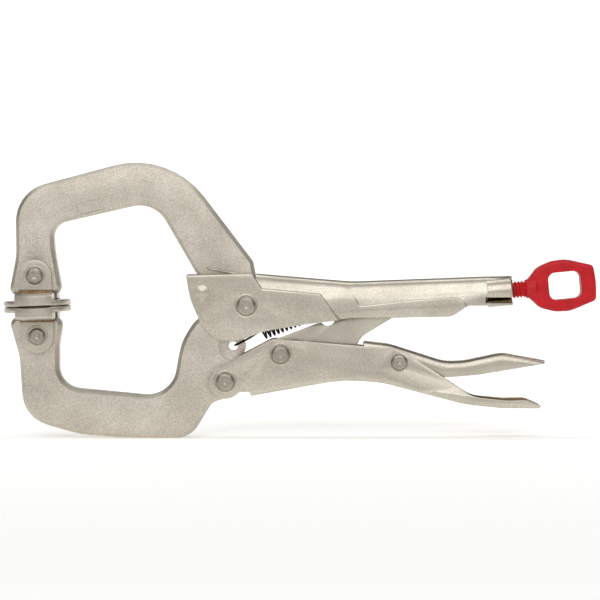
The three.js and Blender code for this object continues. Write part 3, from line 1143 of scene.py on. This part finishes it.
@dataclass
class TensionSpring:
    """The wound spring, with a hook through the jaw's lug and one through the handle's tab."""

    wire_mm: float = 0.5
    coil_mm: float = 2.1
    turns: int = 14
    steps_per_turn: int = 20
    lug: tuple[float, float] = (-6.3, -19.1)
    tab: tuple[float, float] = (39.3, -1.8)
    coil_from_mm: float = 15.0
    coil_to_end_mm: float = 4.5

    def centre_line(self) -> list[Vector]:
        """Works out the wire's centre line.

        Returns:
            Points from the lug's hook to the tab's hook.
        """
        pivot = pivot_of("jaw_pivot")
        start = pivot + Vector((self.lug[0], 0, self.lug[1])) * MM
        end = pivot + Vector((self.tab[0], 0, self.tab[1])) * MM
        axis = (end - start).normalized()
        up = Vector((-axis.z, 0, axis.x))
        length = (end - start).length / MM

        def at(along: float, rise: float, across: float) -> Vector:
            """Gives a point from its distances along, above and across the spring, in millimetres."""
            return start + axis * (along * MM) + up * (rise * MM) + Vector((0, across * MM, 0))

        points = [at(4.5, 0.2, 3.0), at(2.2, 0, 3.0), at(1.1, 0, 2.0), at(0.9, 0, 0), at(1.1, 0, -2.0)]
        points += [at(2.4, 0.1, -3.0), at(5, 0.4, -3.0), at(9, 0.9, -2.2)]
        points += [at(12.5, 1.6, -1.0), at(14, 2.1, -0.3)]
        coil_end = length - self.coil_to_end_mm
        count = self.turns * self.steps_per_turn
        for k in range(count + 1):
            angle = 2 * math.pi * k / self.steps_per_turn
            along = self.coil_from_mm + (coil_end - self.coil_from_mm) * k / count
            points.append(at(along, self.coil_mm * math.cos(angle), self.coil_mm * math.sin(angle)))
        points += [at(length - 2.4, 1.5, 1.2), at(length - 0.6, 0.6, 2.0), at(length + 0.8, 0, 1.2)]
        points += [at(length + 0.9, 0, -0.3), at(length + 0.2, 0, -1.6)]
        return points

    def build(self) -> bpy.types.Object:
        """Makes the spring.

        Returns:
            The spring, which bends between the movable jaw and the upper handle.
        """
        points = self.centre_line()
        bpy.ops.object.select_all(action="DESELECT")
        curve = bpy.data.curves.new("tension_spring_wire", "CURVE")
        curve.dimensions = "3D"
        curve.bevel_depth = self.wire_mm * MM
        curve.bevel_resolution = 3
        curve.use_fill_caps = True
        spline = curve.splines.new("NURBS")
        spline.points.add(len(points) - 1)
        for place, point in zip(spline.points, points):
            place.co = (*point, 1)
        spline.use_endpoint_u = True
        spline.order_u = 4
        spline.resolution_u = 2
        obj = bpy.data.objects.new("tension_spring_wire", curve)
        bpy.context.scene.collection.objects.link(obj)
        select_only(obj)
        bpy.ops.object.convert(target="MESH")
        obj = bpy.context.object
        in_edit_mode(obj, lambda: bpy.ops.mesh.normals_make_consistent(inside=False))
        settle(obj, 60)
        dress(obj, Slot.SPRING, BlackOxideWire())
        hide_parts("tension_spring")
        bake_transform(obj)
        report(obj)
        return obj


@dataclass
class Studio:
    """Plain pale floor and backdrop, soft lights and the camera."""

    width_mm: float = 282.0
    centre_mm: tuple[float, float] = (124.1, 2.6)
    distance_mm: float = 900.0
    elevation_degrees: float = 2.0
    sensor_mm: float = 36.0
    floor: str = "#FAFAF8"
    glow: float = 0.37  # evens out the white, as a little light through the paper would
    floor_roughness: float = 0.9
    floor_size_m: tuple[float, float] = (8, 6)
    floor_centre_m: tuple[float, float] = (0.12, -2.3)
    floor_gap_m: float = 0.0004
    world: str = "#FFFFFF"
    world_strength: float = 0.17
    focus_in_front_mm: float = 6.0
    wash_turn_degrees: float = 66
    cove_m: float = 0.35
    backdrop_m: float = 0.25

    def target(self) -> Vector:
        """Gives the point that the camera looks at."""
        return Vector((self.centre_mm[0], 0, self.centre_mm[1])) * MM

    def add_camera(self) -> None:
        """Places the camera square to the tool, a little above it."""
        rise = math.radians(self.elevation_degrees)
        offset = Vector((0, -math.cos(rise), math.sin(rise))) * self.distance_mm * MM
        bpy.ops.object.camera_add(location=self.target() + offset)
        camera = bpy.context.object
        camera.rotation_euler = (-offset).to_track_quat("-Z", "Y").to_euler()
        camera.data.sensor_width = self.sensor_mm
        camera.data.lens = self.sensor_mm * (self.distance_mm - self.focus_in_front_mm) / self.width_mm
        bpy.context.scene.camera = camera

    def add_floor(self) -> None:
        """Makes the floor and the backdrop that curves up from it, in one sheet."""
        bottom = cad_box[0][2] - self.floor_gap_m
        bpy.ops.object.select_all(action="DESELECT")
        bpy.ops.mesh.primitive_plane_add(size=1)
        floor = bpy.context.object
        floor.name = "studio_floor"
        floor.scale = (*self.floor_size_m, 1)
        floor.location = (*self.floor_centre_m, bottom)
        bpy.ops.object.transform_apply(location=True, rotation=True, scale=True)
        back = max(vertex.co.y for vertex in floor.data.vertices)

        def curve_up() -> None:
            """Turns the far edge up into the backdrop, a quarter turn in small steps."""
            bpy.ops.mesh.select_all(action="DESELECT")
            bpy.ops.mesh.select_mode(type="EDGE")
            bpy.ops.object.mode_set(mode="OBJECT")
            for edge in floor.data.edges:
                edge.select = all(floor.data.vertices[i].co.y > back - 0.001 for i in edge.vertices)
            bpy.ops.object.mode_set(mode="EDIT")
            bpy.ops.mesh.spin(
                steps=12, angle=-math.pi / 2, center=(0, back, bottom + self.cove_m), axis=(1, 0, 0)
            )
            bpy.ops.mesh.extrude_region_move(TRANSFORM_OT_translate={"value": (0, 0, self.backdrop_m)})

        in_edit_mode(floor, curve_up)
        settle(floor, 60)
        material = bpy.data.materials.new("matte_white_paper")
        material.use_nodes = True
        shader = material.node_tree.nodes["Principled BSDF"]
        shader.inputs["Base Color"].default_value = linear(self.floor)
        shader.inputs["Roughness"].default_value = self.floor_roughness
        shader.inputs["Emission Color"].default_value = linear(self.floor)
        shader.inputs["Emission Strength"].default_value = self.glow
        floor.data.materials.append(material)

    def add_light(self, name: str, place: Sequence[float], size: Sequence[float], power: float) -> None:
        """Adds a soft rectangular light that faces the tool.

        Args:
            name: the light's name.
            place: its position in metres.
            size: its width and height in metres.
            power: its power in watts.
        """
        bpy.ops.object.light_add(type="AREA", location=place)
        light = bpy.context.object
        light.name = name
        light.data.shape = "RECTANGLE"
        light.data.size, light.data.size_y = size
        light.data.energy = power
        light.rotation_euler = (self.target() - Vector(place)).to_track_quat("-Z", "Y").to_euler()

    def build(self) -> None:
        """Sets the floor, the lights and the world; add_camera adds the camera."""
        self.add_floor()
        self.add_light("key_softbox", (0.05, -1.2, 0.5), (1.6, 0.35), 4.8)
        self.add_light("overhead_softbox", (0.12, -0.85, 0.85), (1.6, 0.3), 4.2)
        self.add_light("backdrop_wash", (0.12, 0.0, 0.75), (1.6, 0.3), 6.5)
        bpy.data.objects["backdrop_wash"].rotation_euler = (math.radians(self.wash_turn_degrees), 0, 0)
        world = bpy.data.worlds.new("grey_room")
        world.use_nodes = True
        background = world.node_tree.nodes["Background"]
        background.inputs["Color"].default_value = linear(self.world)
        background.inputs["Strength"].default_value = self.world_strength
        bpy.context.scene.world = world
        bpy.context.scene.view_settings.view_transform = "Standard"


def rivets() -> list[Rivet]:
    """Lists the rivets and pad pins.

    Returns:
        One rivet for each, with its body and the body of the sheet under its heads.
    """
    return [
        Rivet("main_rivet", Body.UPPER_HANDLE, Body.UPPER_HANDLE),
        Rivet("jaw_lever_rivet", Body.MOVABLE_JAW, Body.LOWER_HANDLE),
        Rivet("link_rivet", Body.LOWER_HANDLE, Body.LOWER_HANDLE),
        Rivet("release_lever_rivet", Body.LOWER_HANDLE),
        Rivet("fixed_pad_pin", Body.UPPER_HANDLE, Body.FIXED_PAD),
        Rivet("moving_pad_pin", Body.MOVABLE_JAW, Body.MOVING_PAD),
    ]


def main() -> None:
    """Builds the studio, then every piece, body by body."""
    Studio().build()
    Studio().add_camera()
    RefinedPart("fixed_jaw", Body.UPPER_HANDLE, Slot.FORGED, BLASTED_FORGING, 0.5, 3).build()
    RefinedPart("movable_jaw", Body.MOVABLE_JAW, Slot.FORGED, BLASTED_FORGING, 0.5, 3).build()
    PressedChannel(
        "upper_handle", Body.UPPER_HANDLE, Slot.SHEET, PRESSED_SHEET, 0.25, collar_length_mm=11.8
    ).build()
    PressedChannel(
        "lower_handle", Body.LOWER_HANDLE, Slot.SHEET, PRESSED_SHEET, 0.3, way_in=1, flare=0.6
    ).build()
    PressedChannel(
        "release_lever",
        Body.RELEASE_LEVER,
        Slot.SHEET,
        PRESSED_SHEET,
        0.25,
        inside_half_mm=3.0,
        # Painted shade: the lever's downward faces get the brown shade.
        shaded_underside=True,
    ).build()
    RefinedPart("toggle_link", Body.TOGGLE_LINK, Slot.SHEET, PRESSED_SHEET, 0.4).build()
    RefinedPart("screw_tip", Body.SCREW_TIP, Slot.SCREW, ROLLED_THREAD, 0.2).build()
    for side, body in (("fixed", Body.FIXED_PAD), ("moving", Body.MOVING_PAD)):
        RefinedPart(f"{side}_pad_disc", body, Slot.PAD, TURNED_PAD, 0.2).build()
        PadClevis(f"{side}_pad_clevis", body, Slot.PAD, TURNED_PAD, 0.35).build()
    for rivet in rivets():
        rivet.build()
    SetPin().build()
    Badge().build()
    for way in (-1, 1):
        WeldBead().build(way)
    GripRibs().build()
    ThreadedScrew().build()
    ThumbKnob().build()
    TensionSpring().build()


if __name__ == "__main__":
    main()
